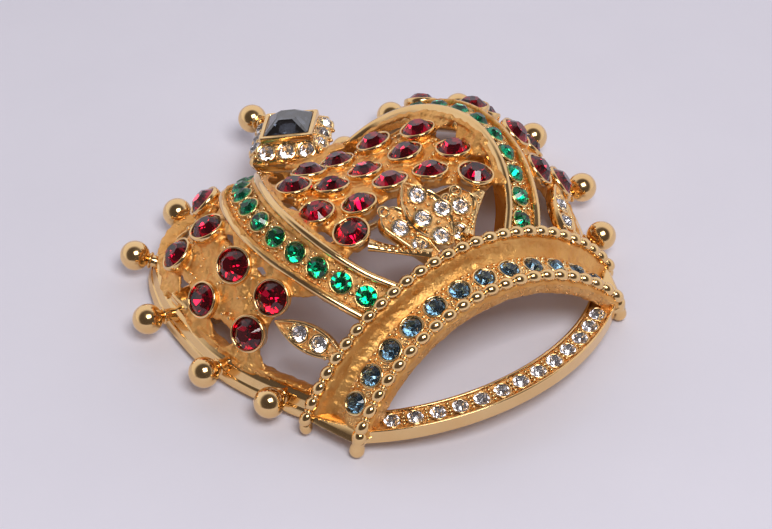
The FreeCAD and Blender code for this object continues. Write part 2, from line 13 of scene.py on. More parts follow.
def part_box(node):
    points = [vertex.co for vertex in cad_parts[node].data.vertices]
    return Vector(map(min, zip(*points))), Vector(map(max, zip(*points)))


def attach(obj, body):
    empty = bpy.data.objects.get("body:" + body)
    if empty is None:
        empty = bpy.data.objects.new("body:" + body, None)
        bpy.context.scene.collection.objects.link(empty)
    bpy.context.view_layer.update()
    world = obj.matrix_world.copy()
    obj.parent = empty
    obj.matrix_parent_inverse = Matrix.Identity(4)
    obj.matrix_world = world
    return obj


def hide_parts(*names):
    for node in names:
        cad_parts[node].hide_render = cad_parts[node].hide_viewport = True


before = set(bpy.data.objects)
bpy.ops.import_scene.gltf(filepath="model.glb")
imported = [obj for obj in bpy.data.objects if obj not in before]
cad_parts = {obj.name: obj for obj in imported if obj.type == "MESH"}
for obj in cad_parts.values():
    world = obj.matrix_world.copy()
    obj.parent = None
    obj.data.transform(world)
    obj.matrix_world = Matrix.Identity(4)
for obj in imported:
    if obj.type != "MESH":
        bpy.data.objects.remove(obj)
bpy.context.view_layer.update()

MM = 0.001

# ---- Balls, rims and feet: places of the right-hand side, in millimetres ----
BALL_R = 1.93
NECK_R = 0.8
NECK_MEETS_BALL_R = 0.7
FINIAL = (0, 31.5, 2.0)
FINIAL_FOOT = (0, 6.2, -4.5)
EDGE_BALLS = [(25.7, -12.0), (29.5, -3.2), (30.4, 8.6), (25.8, 19.4), (17.1, 23.2), (7.9, 20.9)]
RIM_AT_BALLS = [(22.9, -11.3), (26.3, -3.0), (26.7, 8.0), (23.6, 16.9), (16.2, 20.3), (8.2, 18.0)]
RIM_PATH = [(20.6, -16.0), (22.6, -12.0), (25.2, -6.2), (26.7, -0.5), (26.9, 5.0), (26.2, 11.5),
            (23.8, 17.0), (19.6, 20.0), (14.2, 20.0), (9.0, 18.4), (3.6, 17.4)]
RIM_PROFILE = [(-1.4, 0.8), (-1.4, -0.5), (0.3, -2.4), (1.4, -2.4), (0.9, -1.3), (0.7, -1.2),
               (0.2, 0.0), (-0.2, 0.15)]
# Each lug: its span in x and its span in z.
LUGS = [(17.8, 26.4, 0.9, 1.7), (25.1, 26.5, -0.3, 1.3)]
LUG_SPAN = (5.8, 9.4)
FOOT = (20.2, -22.7, 0.95)
FOOT_HEAD = (19.8, -22.7, -0.1)

# ---- Arches: the two rails from the circlet to the orb ----
ARCH_INNER = [(8.2, -14.6, 11.6), (10.9, -11.4, 12.9), (13.2, -7.3, 14.4), (14.6, -2.6, 15.4),
              (14.9, 2.4, 15.5), (13.7, 7.7, 14.4), (11.6, 12.1, 12.1), (8.9, 15.6, 8.6),
              (4.8, 17.7, 4.6)]
ARCH_OUTER = [(12.6, -15.2, 8.8), (15.3, -11.2, 10.6), (17.6, -6.2, 11.9), (19.0, -0.9, 12.4),
              (19.2, 4.4, 12.5), (18.1, 9.3, 11.9), (15.9, 13.6, 10.0), (12.4, 16.9, 7.0),
              (6.6, 18.9, 3.4)]
ARCH_DEPTH = 2.4
CHANNEL_DEPTH = 0.95
# Each prong bead between two stones: how far across, and its radius.
PRONGS = [(0.62, 0.42), (1.45, 0.28)]

# ---- Circlet: its profile as y and z, bent about the hub ----
HUB_Z = -13.6
BAND_END_Z = -0.7
BAND_PROFILE = [(-13.9, 12.7), (-14.9, 12.8), (-16.4, 10.6), (-19.7, 10.3), (-20.0, 10.6),
                (-20.9, 10.5), (-21.2, 8.6), (-20.2, 8.5), (-16.2, 9.0), (-13.9, 11.0)]
END_CORNERS = [0, 1, 5, 6, 7, 8]
END_PLATE = 0.45
LEAN_AT_TOP = 0.147
LEAN_GROWTH = 0.0155
UPPER_EDGE = (-14.4, 13.2)
LOWER_EDGE = (-20.4, 10.9)
# Each row: its edge, the number of beads, and the height at which it ends.
BEAD_ROWS = [("upper_beads", UPPER_EDGE, 28, -0.4), ("lower_beads", LOWER_EDGE, 22, 1.3)]
BEAD_R = 0.81
BEAD_TAIL_R = 0.8
BEAD_LEAN = 14.0
# Each granule between two stones: how far across, how far down, and its radius.
BAND_GRANULES = [(0, 0.05, 0.34), (-0.62, -0.75, 0.33), (0.62, -0.75, 0.33), (0, -0.85, 0.36),
                 (-1.15, -1.25, 0.3), (1.15, -1.25, 0.3), (-0.5, -1.45, 0.3), (0.45, -1.4, 0.32),
                 (-0.75, 1.3, 0.24), (0.75, 1.3, 0.24), (0.1, 0.5, 0.2)]

# ---- Crescent ----
CRESCENT_R = 28.3
CRESCENT_Z = 2.4
CRESCENT_DROP = 1.4 / 15.3 ** 2
CRESCENT_HALF = 1.7
CRESCENT_WALL = 1.9
CRESCENT_SPAN = 42.0
# Each granule between two stones: how far out, and its radius.
CRESCENT_GRANULES = [(-0.85, 0.26), (-0.3, 0.27), (0.3, 0.27), (0.85, 0.26)]

# ---- Openwork ----
# Places kept open in the webs, as x, y and radius.
LOBE_HOLES = [(21.3, -1.0, 1.9), (21.6, 8.0, 0.9), (24.6, -1.0, 1.7), (20.0, 13.6, 0.8)]
PANEL_HOLES = [(12.0, -4.4, 1.3), (7.7, 8.9, 0.8), (2.9, 1.6, 0.9), (-2.9, 1.6, 0.9), (-7.7, 8.9, 0.8),
               (-12.0, -4.4, 1.3), (7.6, 2.6, 0.7), (-7.6, 2.6, 0.7)]
# How finely the casting is remeshed, and how often it is then smoothed.
VOXEL = 0.17
SMOOTHINGS = 4

# ---- Orb ----
ORB_AT = (0, 22.4, 7.5)
ORB_TURN = -40.0
ORB_TILT = 16.0
# Each level from the skirt up to the seat: its side, its height and its corner radius.
ORB_LEVELS = [(6.0, -8.6, 0.6), (6.6, -7.0, 0.6), (7.4, -5.4, 0.6), (8.6, -4.7, 0.5), (9.5, -4.1, 0.5),
              (10.05, -3.3, 0.5), (10.2, -2.9, 0.5), (10.05, -2.6, 0.5), (9.5, -2.2, 0.5),
              (8.4, -1.65, 0.5), (7.45, -1.15, 0.4), (7.15, -0.95, 0.3), (7.2, -0.8, 0.3),
              (7.12, -0.12, 0.25), (6.98, 0.0, 0.2), (6.12, 0.02, 0.15), (6.0, -0.06, 0.12),
              (5.98, -0.5, 0.12), (2.4, -1.7, 0.1)]
# The square stone's levels: side, height and how far each corner is cut.
ORB_STONE_LEVELS = [(2.2, -1.45, 0.5), (3.9, -1.05, 0.5), (5.86, -0.38, 0.25), (5.86, 0.02, 0.25),
                    (2.7, 1.38, 0.45)]
# The granules on one side of the orb: x, y, z and radius.
ORB_GRANULES = [(-1.35, -4.15, -1.5, 0.3), (1.35, -4.15, -1.5, 0.3), (-1.35, -4.75, -2.25, 0.34),
                (1.35, -4.75, -2.25, 0.34), (-4.2, -4.5, -2.1, 0.4), (-1.35, -3.8, -1.2, 0.22),
                (1.35, -3.8, -1.2, 0.22), (0, -5.2, -3.0, 0.3), (-2.7, -5.15, -3.0, 0.3),
                (2.7, -5.15, -3.0, 0.3), (-3.95, -3.95, -1.6, 0.3)]

# ---- Fleuron and leaves ----
FLEURON_AT = (0, -9.0, 14.9)
FLEURON_PITCH = 24.0
# Each leaf: its root's x, y and lift, its heading in degrees, its length and its width.
FLEURON_LEAVES = [(0.4, -4.6, 0.5, 97.5, 9.7, 5.8), (1.4, -5.1, 0, 55, 7.5, 4.4),
                  (-2.3, -5.0, 0, 107, 8.4, 4.2)]
# Granules on the raised middle leaf, and on the two leaves beside it, as x and y.
MIDDLE_GRANULES = [(0.4, 1.2), (-1.3, 1.5), (1.3, 1.8), (-1.6, 2.6), (0.8, 3.6), (-0.7, 4.1), (0.3, -1.4),
                   (1.6, -1.5), (-1.6, -1.6), (0.9, -2.4), (0.9, -3.6), (-0.2, -4.4)]
SIDE_GRANULES = [(3.4, -2.2), (2.7, -1.9), (4.3, -2.3), (3.6, 0.7), (4.6, 0.9), (5.3, 0.2), (1.6, -4.7),
                 (3.0, -4.7), (5.5, -1.0), (-4.3, 1.8), (-3.5, 1.6), (-4.9, 1.5), (-4.5, 2.4),
                 (-3.4, -1.3), (-4.2, -1.5), (-2.7, -1.4), (-5.3, -0.6), (-4.2, -3.3), (-2.6, -4.2),
                 (-3.4, -4.2)]
MIDDLE_LIFT = 0.55
SIDE_LIFT = 0.05
FLEURON_RINGS = [(4.9, 1.4), (3.3, 0.9), (-4.9, 2.9)]
# A leaf's raised border: its lift, its distance from the edge and its width.
BORDER_LIFT = 0.34
BORDER_INSET = 0.24
BORDER_WIDTH = 0.26
LEAST_HALF = 0.06
LEAF_ROOT = (17.4, -16.1, 6.3)
LEAF_TIP = (21.4, -7.1, 7.5)
LEAF_OUT = (0.66, -0.30, 0.69)
LEAF_WIDTH = 3.5
LEAF_GRANULES = [(2.2, 1.1), (2.2, -1.1), (4.9, 1.35), (4.9, -1.35), (7.5, 0.7), (7.5, -0.7), (1.4, 0),
                 (8.0, 0)]
LEAF_GRANULE_R = 0.27

# ---- Round stones, for a girdle of radius 1, and the seat under them ----
TABLE_R = 0.52
TABLE_HEIGHT = 0.50
GIRDLE_HALF = 0.05
CULET_DEPTH = 0.78
SEAT_DEPTH = 0.06
SEAT_SLOPE = 0.76
STONE_SHRINK = 0.985
STONE_WOBBLE = 0.035

# The ball plane's height and the finial's far side give the drawing's place in the frame.
low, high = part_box("right_edge_balls")
finial_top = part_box("finial_ball")[1].y
PLACE = np.array([0, finial_top / MM - BALL_R - FINIAL[1], (low.z + high.z) / 2 / MM])

# The camera looks down at the crown from its front left, turned a little about its own axis.
AZIMUTH = math.radians(-35.34)
ELEVATION = math.radians(44.04)
ROLL = math.radians(0.34)
TARGET = (0, -1.715, 2.71)
CAMERA_DISTANCE = 306.0
LENS = 111.1
BACK = np.array([math.sin(AZIMUTH) * math.cos(ELEVATION), -math.cos(AZIMUTH) * math.cos(ELEVATION),
                 math.sin(ELEVATION)])

# Light and paper, in metres and watts.
LAMP_DIRECTION = (-0.10, -0.46, 0.88)
LAMP_DISTANCE = 0.62
LAMP_SIZE = (0.30, 0.24)
LAMP_POWER = 2.25
LAMP_COLOUR = (1.0, 0.985, 0.96)
TENT_LIFT = (0, 0, 0.15)
TENT_STOPS = [(0.0, (0.84, 0.82, 0.87)), (0.30, (0.82, 0.79, 0.81)), (0.54, (0.11, 0.095, 0.095)),
              (1.0, (0.075, 0.065, 0.065))]
PAPER_HALF = 1.6
PAPER_DROP = 0.00002

# Material numbers: of the golds, and of a stone's front and back.
SMOOTH, STIPPLE, SATINY = 0, 1, 2
FRONT, MIRROR = 0, 1

random = np.random.default_rng(11)


# ---- Vectors and curves ----
def unit(vector):
    vector = np.array(vector, float)
    return vector / np.linalg.norm(vector)


def axes(direction):
    """Two unit vectors square to the direction, and the direction itself."""
    up = unit(direction)
    hint = (1, 0, 0) if abs(up[0]) < 0.8 else (0, 1, 0)
    side = unit(np.cross(up, hint))
    return np.array([side, np.cross(up, side), up])


def turn(degrees, axis):
    """A rotation matrix about an axis."""
    return np.array(Matrix.Rotation(math.radians(degrees), 3, axis))


def spline(points, count):
    """Even points of a smooth curve through the given ones, whose first 3 values are x, y and z."""
    p = np.array(points, float)
    chord = np.concatenate([[0], np.cumsum(np.linalg.norm(np.diff(p[:, :3], axis=0), axis=1))])
    slope = np.gradient(p, chord, axis=0)
    t = np.linspace(0, chord[-1], count)
    k = np.clip(np.searchsorted(chord, t, side="right") - 1, 0, len(p) - 2)
    h = (chord[k + 1] - chord[k])[:, None]
    s = (t - chord[k])[:, None] / h
    start = (2 * s ** 3 - 3 * s ** 2 + 1) * p[k] + (s ** 3 - 2 * s ** 2 + s) * h * slope[k]
    end = (3 * s ** 2 - 2 * s ** 3) * p[k + 1] + (s ** 3 - s ** 2) * h * slope[k + 1]
    return start + end


def rounded(corners, radius, steps=5, spacing=None):
    """A closed outline with its corners rounded, and long sides divided."""
    corners = np.array(corners, float)
    outline = []
    for before, corner, after in zip(np.roll(corners, 1, 0), corners, np.roll(corners, -1, 0)):
        into, out = before - corner, after - corner
        reach = min(radius, 0.46 * np.linalg.norm(into), 0.46 * np.linalg.norm(out))
        start, end = corner + unit(into) * reach, corner + unit(out) * reach
        for t in np.linspace(0, 1, steps):
            outline.append(start * (1 - t) ** 2 + corner * 2 * t * (1 - t) + end * t * t)
    if spacing is None:
        return np.array(outline)
    divided = []
    for a, b in zip(outline, np.roll(outline, -1, 0)):
        parts = max(1, int(np.linalg.norm(b - a) / spacing))
        divided += [a + (b - a) * k / parts for k in range(parts)]
    return np.array(divided)


def ripple(points, scale, seed=3, waves=14):
    """Smooth pseudo-random values from about -1 to 1 that vary over the given length."""
    draw = np.random.default_rng(seed)
    total = np.zeros(len(points))
    for _ in range(waves):
        direction = unit(draw.normal(size=3)) * draw.uniform(3.5, 9.0) / scale
        total += np.sin(points @ direction + draw.uniform(0, 2 * math.pi))
    return total / math.sqrt(waves)


# ---- Meshes ----
class Shape:
    """Points in millimetres, faces, and each face's material number."""

    def __init__(self):
        self.points = []
        self.faces = []
        self.marks = []
        self.count = 0

    def add(self, points, faces, mark=SMOOTH):
        points = np.array(points, float)
        self.points.append(points)
        self.faces += [[i + self.count for i in face] for face in faces]
        self.marks += [mark] * len(faces) if isinstance(mark, int) else list(mark)
        self.count += len(points)

    def mirrored(self):
        """The same shape on the other side of the crown's middle plane."""
        other = Shape()
        points = np.vstack(self.points) * (-1, 1, 1)
        other.add(points, [face[::-1] for face in self.faces], self.marks)
        return other


def skin(sections, marks=None, caps=True):
    """Faces over closed sections of equal point counts."""
    sections = np.array(sections, float)
    count, size = sections.shape[:2]
    faces = []
    for i in range(count - 1):
        for j in range(size):
            a, b = i * size + j, i * size + (j + 1) % size
            faces.append((a, b, b + size, a + size))
    found = list(marks) * (count - 1) if marks is not None else [0] * len(faces)
    if caps:
        faces += [tuple(reversed(range(size))), tuple(range((count - 1) * size, count * size))]
        found += [SMOOTH, SMOOTH]
    return sections.reshape(-1, 3), faces, found


def lathe(outline, centre, direction, segments=28):
    """A turned shape from (radius, height) pairs; a first or last radius of 0 closes it."""
    frame3 = axes(direction)
    angle = np.arange(segments) * 2 * math.pi / segments
    rings = []
    for radius, height in outline:
        r = max(radius, 1e-4)
        local = np.stack([r * np.cos(angle), r * np.sin(angle), np.full(segments, height)], 1)
        rings.append(local @ frame3 + np.array(centre))
    points, faces, _ = skin(rings, caps=False)
    if outline[0] == outline[-1]:
        size = len(points) - segments
        faces = [tuple(i % size for i in face) for face in faces]
        return points[:size], faces
    last = len(points)
    faces += [tuple(reversed(range(segments))), tuple(range(last - segments, last))]
    return points, faces


def ball_mesh(detail):
    """A ball of radius 1 with even triangles."""
    work = bmesh.new()
    bmesh.ops.create_icosphere(work, subdivisions=detail, radius=1)
    work.verts.ensure_lookup_table()
    points = np.array([v.co for v in work.verts])
    faces = [tuple(v.index for v in f.verts) for f in work.faces]
    work.free()
    return points, faces


SMALL_BALL = ball_mesh(2)
ROUND_BALL = ball_mesh(4)


def granule(shape, centre, radius, stretch=(1, 1, 1), frame3=np.eye(3), ball=SMALL_BALL):
    """A small ball, or an oval one."""
    points, faces = ball
    shape.add((points * radius * np.array(stretch)) @ frame3 + np.array(centre), faces)


def ring(shape, centre, direction, radius, thick, segments=26):
    """A round-section ring."""
    turns = [k * math.pi / 4 for k in range(9)]
    outline = [(radius + thick * math.cos(a), thick * math.sin(a)) for a in turns]
    outline[-1] = outline[0]
    shape.add(*lathe(outline, centre, direction, segments))


def finish_shape(name, shape, materials, nodes, angle=42):
    """A piece of the crown, with edges sharper than the angle kept sharp, or all of them for 0."""
    mesh = bpy.data.meshes.new(name)
    mesh.from_pydata(((np.vstack(shape.points) + PLACE) * MM).tolist(), [], shape.faces)
    for material in materials:
        mesh.materials.append(material)
    work = bmesh.new()
    work.from_mesh(mesh)
    for face, mark in zip(work.faces, shape.marks):
        face.material_index = mark
    bmesh.ops.recalc_face_normals(work, faces=work.faces[:])
    work.to_mesh(mesh)
    work.free()
    mesh.polygons.foreach_set("use_smooth", [angle > 0] * len(mesh.polygons))
    if angle > 0:
        mesh.set_sharp_from_angle(angle=math.radians(angle))
    piece = bpy.data.objects.new(name, mesh)
    bpy.context.scene.collection.objects.link(piece)
    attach(piece, "crown")
    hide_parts(*nodes)


def both_sides(name, shape, materials, angle=42):
    """The right-hand piece and its mirror image, standing for the nodes of those names."""
    finish_shape("right_" + name + "_gold", shape, materials, ["right_" + name], angle)
    finish_shape("left_" + name + "_gold", shape.mirrored(), materials, ["left_" + name], angle)


def bezels(shape, places, lift, gap, thick):
    """A ring round each stone, lifted from its girdle along its axis."""
    for centre, axis, radius in places:
        ring(shape, centre + axis * lift, axis, radius + gap, thick)


# ---- CAD solids ----
def solids(node):
    """The points of each solid of a CAD node, in the drawing's millimetres."""
    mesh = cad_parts[node].data
    work = bmesh.new()
    work.from_mesh(mesh)
    bmesh.ops.remove_doubles(work, verts=work.verts[:], dist=2e-6)
    work.verts.ensure_lookup_table()
    left = set(range(len(work.verts)))
    found = []
    while left:
        stack = [min(left)]
        left.discard(stack[0])
        group = []
        while stack:
            vertex = work.verts[stack.pop()]
            group.append(tuple(vertex.co))
            for edge in vertex.link_edges:
                other = edge.other_vert(vertex).index
                if other in left:
                    left.discard(other)
                    stack.append(other)
        found.append(np.array(group) / MM - PLACE)
    work.free()
    return found


def stone_places(node):
    """Girdle centre, outward direction and radius of each round stone of a node."""
    places = []
    for points in solids(node):
        middle = points.mean(0)
        values, vectors = np.linalg.eigh(np.cov((points - middle).T))
        odd = 0 if values[1] - values[0] > values[2] - values[1] else 2
        axis = vectors[:, odd]
        height = (points - middle) @ axis
        spread = np.linalg.norm(points - middle - np.outer(height, axis), axis=1)
        widest = spread > 0.97 * spread.max()
        centre = points[widest].mean(0)
        height = (points - centre) @ axis
        if height.max() > -height.min():
            axis = -axis
        radius = np.linalg.norm(np.cross(points[widest] - centre, axis), axis=1).mean()
        places.append((centre, axis, radius))
    return places


def sink(points, places, gap=0.1):
    """Pushes points out of the way of the stones' backs."""
    points = np.array(points, float)
    for centre, axis, radius in places:
        offset = points - centre
        height = offset @ axis
        spread = np.linalg.norm(offset - np.outer(height, axis), axis=1)
        limit = -SEAT_DEPTH * radius - SEAT_SLOPE * (radius - np.minimum(spread, radius)) - gap
        inside = (spread < radius + 0.04) & (height > limit) & (height < 0.5 * radius)
        points[inside] += np.outer(limit[inside] - height[inside], axis)
    return points


# ---- Materials ----
def new_material(name, rough):
    """A material, its shader, its nodes and its links."""
    material = bpy.data.materials.new(name)
    material.use_nodes = True
    nodes, links = material.node_tree.nodes, material.node_tree.links
    shader = nodes["Principled BSDF"]
    shader.inputs["Roughness"].default_value = rough
    return material, shader, nodes, links


def noise(nodes, links, scale, detail, rough=0.55):
    """A noise texture fixed to the piece."""
    coordinates = nodes.new("ShaderNodeTexCoord")
    texture = nodes.new("ShaderNodeTexNoise")
    texture.inputs["Scale"].default_value = scale
    texture.inputs["Detail"].default_value = detail
    texture.inputs["Roughness"].default_value = rough
    links.new(coordinates.outputs["Object"], texture.inputs["Vector"])
    return texture


def ramp(nodes, links, source, stops):
    """Colours by value, from (place, colour) stops."""
    colours = nodes.new("ShaderNodeValToRGB")
    elements = colours.color_ramp.elements
    while len(elements) < len(stops):
        elements.new(0.5)
    for element, (place, colour) in zip(elements, stops):
        element.position = place
        element.color = (*colour, 1)
    links.new(source, colours.inputs["Fac"])
    return colours


def mottle(nodes, links, shader, scale, detail, stops):
    """A base colour that varies with a noise of the given scale."""
    tone = noise(nodes, links, scale, detail)
    colours = ramp(nodes, links, tone.outputs["Fac"], stops)
    links.new(colours.outputs["Color"], shader.inputs["Base Color"])


def bump(nodes, links, source, shader, strength, distance):
    """Small relief on a shader."""
    node = nodes.new("ShaderNodeBump")
    node.inputs["Strength"].default_value = strength
    node.inputs["Distance"].default_value = distance
    links.new(source, node.inputs["Height"])
    links.new(node.outputs["Normal"], shader.inputs["Normal"])


def gold(name, light, dark, rough, grain, strength, depth, spread=0.06):
    """Plated metal whose tone and polish vary a little over the surface."""
    material, shader, nodes, links = new_material(name, rough)
    shader.inputs["Metallic"].default_value = 1.0
    mottle(nodes, links, shader, 260, 3, [(0.3, dark), (0.7, light)])
    polish = noise(nodes, links, grain * 0.6, 4)
    stops = [(0.3, (rough - spread,) * 3), (0.75, (rough + spread,) * 3)]
    levels = ramp(nodes, links, polish.outputs["Fac"], stops)
    links.new(levels.outputs["Color"], shader.inputs["Roughness"])
    texture = noise(nodes, links, grain, 5, 0.6)
    bump(nodes, links, texture.outputs["Fac"], shader, strength, depth)
    return material


def glass(name, light, dark, ior):
    """The clear front of a stone."""
    material, shader, nodes, links = new_material(name, 0.01)
    shader.inputs["IOR"].default_value = ior
    shader.inputs["Transmission Weight"].default_value = 1.0
    mottle(nodes, links, shader, 420, 1, [(0.35, dark), (0.65, light)])
    return material


def foil(name, light, dark, rough):
    """The mirrored back of a stone, seen through its front."""
    material, shader, nodes, links = new_material(name, rough)
    shader.inputs["Metallic"].default_value = 1.0
    mottle(nodes, links, shader, 520, 1, [(0.35, dark), (0.65, light)])
    return material


def paper():
    """Faintly mottled paper with a fine grain."""
    material, shader, nodes, links = new_material("pale_paper", 0.92)
    shader.inputs["Specular IOR Level"].default_value = 0.12
    mottle(nodes, links, shader, 40, 6, [(0.3, (0.775, 0.76, 0.865)), (0.7, (0.80, 0.785, 0.89))])
    grain = noise(nodes, links, 900, 4)
    bump(nodes, links, grain.outputs["Fac"], shader, 0.15, 0.0002)
    return material


POLISHED = gold("polished_gold", (0.90, 0.62, 0.30), (0.86, 0.56, 0.25), 0.15, 1500, 0.06, 0.0001)
STIPPLED = gold("stippled_gold", (0.92, 0.57, 0.24), (0.78, 0.40, 0.13), 0.34, 2000, 0.9, 0.00035, 0.12)
CAST = gold("cast_gold", (0.92, 0.52, 0.18), (0.80, 0.38, 0.10), 0.36, 1500, 0.7, 0.0003, 0.12)
SATIN = gold("satin_gold", (0.92, 0.52, 0.17), (0.76, 0.35, 0.09), 0.42, 900, 0.8, 0.0004, 0.1)
FINDINGS = gold("findings_gold", (0.86, 0.62, 0.34), (0.80, 0.56, 0.28), 0.19, 2200, 0.1, 0.0001)
GOLDS = [POLISHED, STIPPLED, SATIN]
RUBY = [glass("ruby_glass", (0.52, 0.006, 0.055), (0.40, 0.004, 0.035), 1.56),
        foil("ruby_foil", (0.95, 0.35, 0.5), (0.85, 0.25, 0.38), 0.06)]
EMERALD = [glass("emerald_glass", (0.01, 0.42, 0.26), (0.005, 0.30, 0.18), 1.56),
           foil("emerald_foil", (0.45, 1.0, 0.8), (0.32, 0.88, 0.66), 0.08)]
DENIM = [glass("denim_glass", (0.20, 0.28, 0.33), (0.14, 0.21, 0.26), 1.56),
         foil("denim_foil", (0.75, 0.86, 0.93), (0.6, 0.74, 0.84), 0.14)]
CLEAR = [glass("clear_glass", (0.99, 0.98, 0.99), (0.95, 0.94, 0.96), 1.54),
         foil("clear_foil", (0.98, 0.97, 0.99), (0.9, 0.89, 0.92), 0.16)]
GREY = [glass("grey_glass", (0.10, 0.105, 0.12), (0.07, 0.075, 0.09), 2.3),
        foil("grey_foil", (0.80, 0.84, 0.90), (0.66, 0.70, 0.76), 0.05)]
STONE_SETS = [("lobe_rubies", ["right_lobe_stones", "left_lobe_stones"], RUBY, "ruby_glass"),
              ("panel_rubies", ["centre_panel_stones"], RUBY, "ruby_glass"),
              ("arch_emeralds", ["right_arch_stones", "left_arch_stones"], EMERALD, "emerald_glass"),
              ("circlet_blues", ["circlet_stones"], DENIM, "denim_blue_glass"),
              ("crescent_clears", ["crescent_stones"], CLEAR, "clear_glass"),
              ("orb_clears", ["orb_small_stones"], CLEAR, "clear_glass"),
              ("fleuron_clears", ["fleuron_stones"], CLEAR, "clear_glass"),
              ("leaf_clears", ["leaf_stones"], CLEAR, "clear_glass")]


# ---- Stones ----
def chaton():
    """A round faceted stone of radius 1, with a glass crown and a foiled back."""
    def circle(count, radius, height, shift=0.0):
        turns = [(k + shift) * 2 * math.pi / count for k in range(count)]
        return [(radius * math.cos(a), radius * math.sin(a), height) for a in turns]

    points = circle(8, TABLE_R, TABLE_HEIGHT) + circle(16, 1.0, GIRDLE_HALF, 0.5)
    points += circle(16, 1.0, -GIRDLE_HALF, 0.5) + [(0, 0, -CULET_DEPTH)]
    girdle, lower, tip = 8, 24, 40
    faces = [tuple(range(8))]
    marks = [FRONT]
    for k in range(8):
        near = (k + 1) % 8
        first, second, third = 2 * k, (2 * k + 1) % 16, (2 * k + 2) % 16
        faces += [(k, girdle + first, girdle + second, near), (near, girdle + second, girdle + third),
                  (tip, lower + third, lower + first), (lower + first, lower + third, lower + second)]
        marks += [FRONT, FRONT, MIRROR, MIRROR]
    for k in range(16):
        faces.append((girdle + k, lower + k, lower + (k + 1) % 16, girdle + (k + 1) % 16))
        marks.append(MIRROR)
    return np.array(points), faces, marks


def round_stones(name, nodes, materials):
    """The stones of some CAD nodes, each set a little unevenly."""
    points, faces, marks = chaton()
    shape = Shape()
    for node in nodes:
        for centre, axis, radius in stone_places(node):
            tilt = unit(axis + random.normal(size=3) * STONE_WOBBLE)
            spin = turn(random.uniform(0, 360), "Z")
            shape.add((points * radius * STONE_SHRINK) @ spin @ axes(tilt) + centre, faces, marks)
    finish_shape(name, shape, materials, nodes, 0)


def square_stone():
    """The orb's step-cut stone with cut corners."""
    def loop(side, height, cut):
        h = side / 2
        flat = [(-h + cut, -h), (h - cut, -h), (h, -h + cut), (h, h - cut), (h - cut, h), (-h + cut, h),
                (-h, h - cut), (-h, -h + cut)]
        return [(x, y, height) for x, y in flat]

    points, faces, _ = skin([loop(*level) for level in ORB_STONE_LEVELS])
    marks = [MIRROR] * 24 + [FRONT] * 8 + [MIRROR, FRONT]
    shape = Shape()
    shape.add(points @ orb_axes() + np.array(ORB_AT), faces, marks)
    finish_shape("orb_centre_stone", shape, GREY, ["orb_stone"], 0)


# ---- Rim, balls and feet ----
def necked_ball(shape, foot, centre, collar=1.1):
    """A ball on a neck with a collar ring under it."""
    reach = np.linalg.norm(np.array(centre) - np.array(foot))
    base = reach - math.sqrt(BALL_R ** 2 - NECK_MEETS_BALL_R ** 2)
    outline = [(0, -0.3), (0.95, -0.3), (0.72, 0.15), (NECK_R, 0.5), (NECK_R, base - 0.5)]
    outline += [(NECK_R + (collar - NECK_R) * math.sin(a), base - 0.28 - 0.22 * math.cos(a))
                for a in np.linspace(0.4, math.pi - 0.4, 6)]
    start = math.pi - math.asin(NECK_MEETS_BALL_R / BALL_R)
    outline += [(BALL_R * math.sin(a), reach + BALL_R * math.cos(a)) for a in np.linspace(start, 0, 26)]
    shape.add(*lathe(outline, foot, np.array(centre) - np.array(foot), 40))


def edge_balls():
    """Six balls that stand out from each lobe's rim."""
    shape = Shape()
    for (x, y), (rx, ry) in zip(EDGE_BALLS, RIM_AT_BALLS):
        necked_ball(shape, (rx, ry, -0.6), (x, y, 0))
    both_sides("edge_balls", shape, GOLDS, 50)


def finial():
    """The ball beyond the orb."""
    shape = Shape()
    necked_ball(shape, np.array(ORB_AT) + FINIAL_FOOT, FINIAL, 1.2)
    finish_shape("finial_gold", shape, GOLDS, ["finial_ball"], 50)


def rim():
    """The ridge round a lobe, with the lugs that carry the pin."""
    path = spline([(x, y, 0) for x, y in RIM_PATH], 90)
    ahead = np.gradient(path, axis=0)
    outline = rounded(RIM_PROFILE, 0.28, 5)
    sections = []
    for point, along in zip(path, ahead):
        across = unit((along[1], -along[0], 0))
        sections.append([point + across * x + np.array([0, 0, h]) for x, h in outline])
    shape = Shape()
    shape.add(*skin(sections))
    near, far = LUG_SPAN
    for x_low, x_high, z_low, z_high in LUGS:
        flat = rounded([(x_low, near), (x_high, near), (x_high, far), (x_low, far)], 0.3, 4)
        levels = [(z_low, 0.94), (z_low + 0.08, 1.0), (z_high - 0.08, 1.0), (z_high, 0.94)]
        middle = np.array([(x_low + x_high) / 2, (near + far) / 2])
        shape.add(*skin([[(*((p - middle) * share + middle), z) for p in flat] for z, share in levels]))
    both_sides("rim", shape, GOLDS, 38)


def feet():
    """Two waisted feet with round ends, under the circlet's ends."""
    shape = Shape()
    x, y, radius = FOOT
    quarter = np.linspace(0, math.pi / 2, 9)
    for side in (-1, 1):
        base = np.array([side * x, y, -PLACE[2] + radius])
        head = np.array(FOOT_HEAD) * (side, 1, 1)
        reach = np.linalg.norm(head - base)
        outline = [(radius * math.sin(a), -radius * math.cos(a)) for a in quarter]
        outline += [(radius * 0.93, reach * 0.35), (radius * 0.8, reach * 0.5), (radius * 0.93, reach * 0.65)]
        outline += [(radius * math.cos(a), reach + radius * math.sin(a)) for a in quarter]
        shape.add(*lathe(outline, base, head - base, 30))
    finish_shape("feet_gold", shape, GOLDS, ["feet"], 60)


# ---- Arches ----
def arch_frames(count):
    """Crest, across, outward and width at even steps from the circlet to the orb."""
    inner, outer = np.array(ARCH_INNER), np.array(ARCH_OUTER)
    rails = spline(np.hstack([inner, outer]), count)
    inner, outer = rails[:, :3], rails[:, 3:]
    ahead = np.gradient((inner + outer) / 2, axis=0)
    across = np.array([unit(v) for v in outer - inner])
    outward = np.array([unit(np.cross(a, b)) for a, b in zip(across, ahead)])
    outward *= np.sign(outward[:, 2:3])
    return inner, across, outward, np.linalg.norm(outer - inner, axis=1)


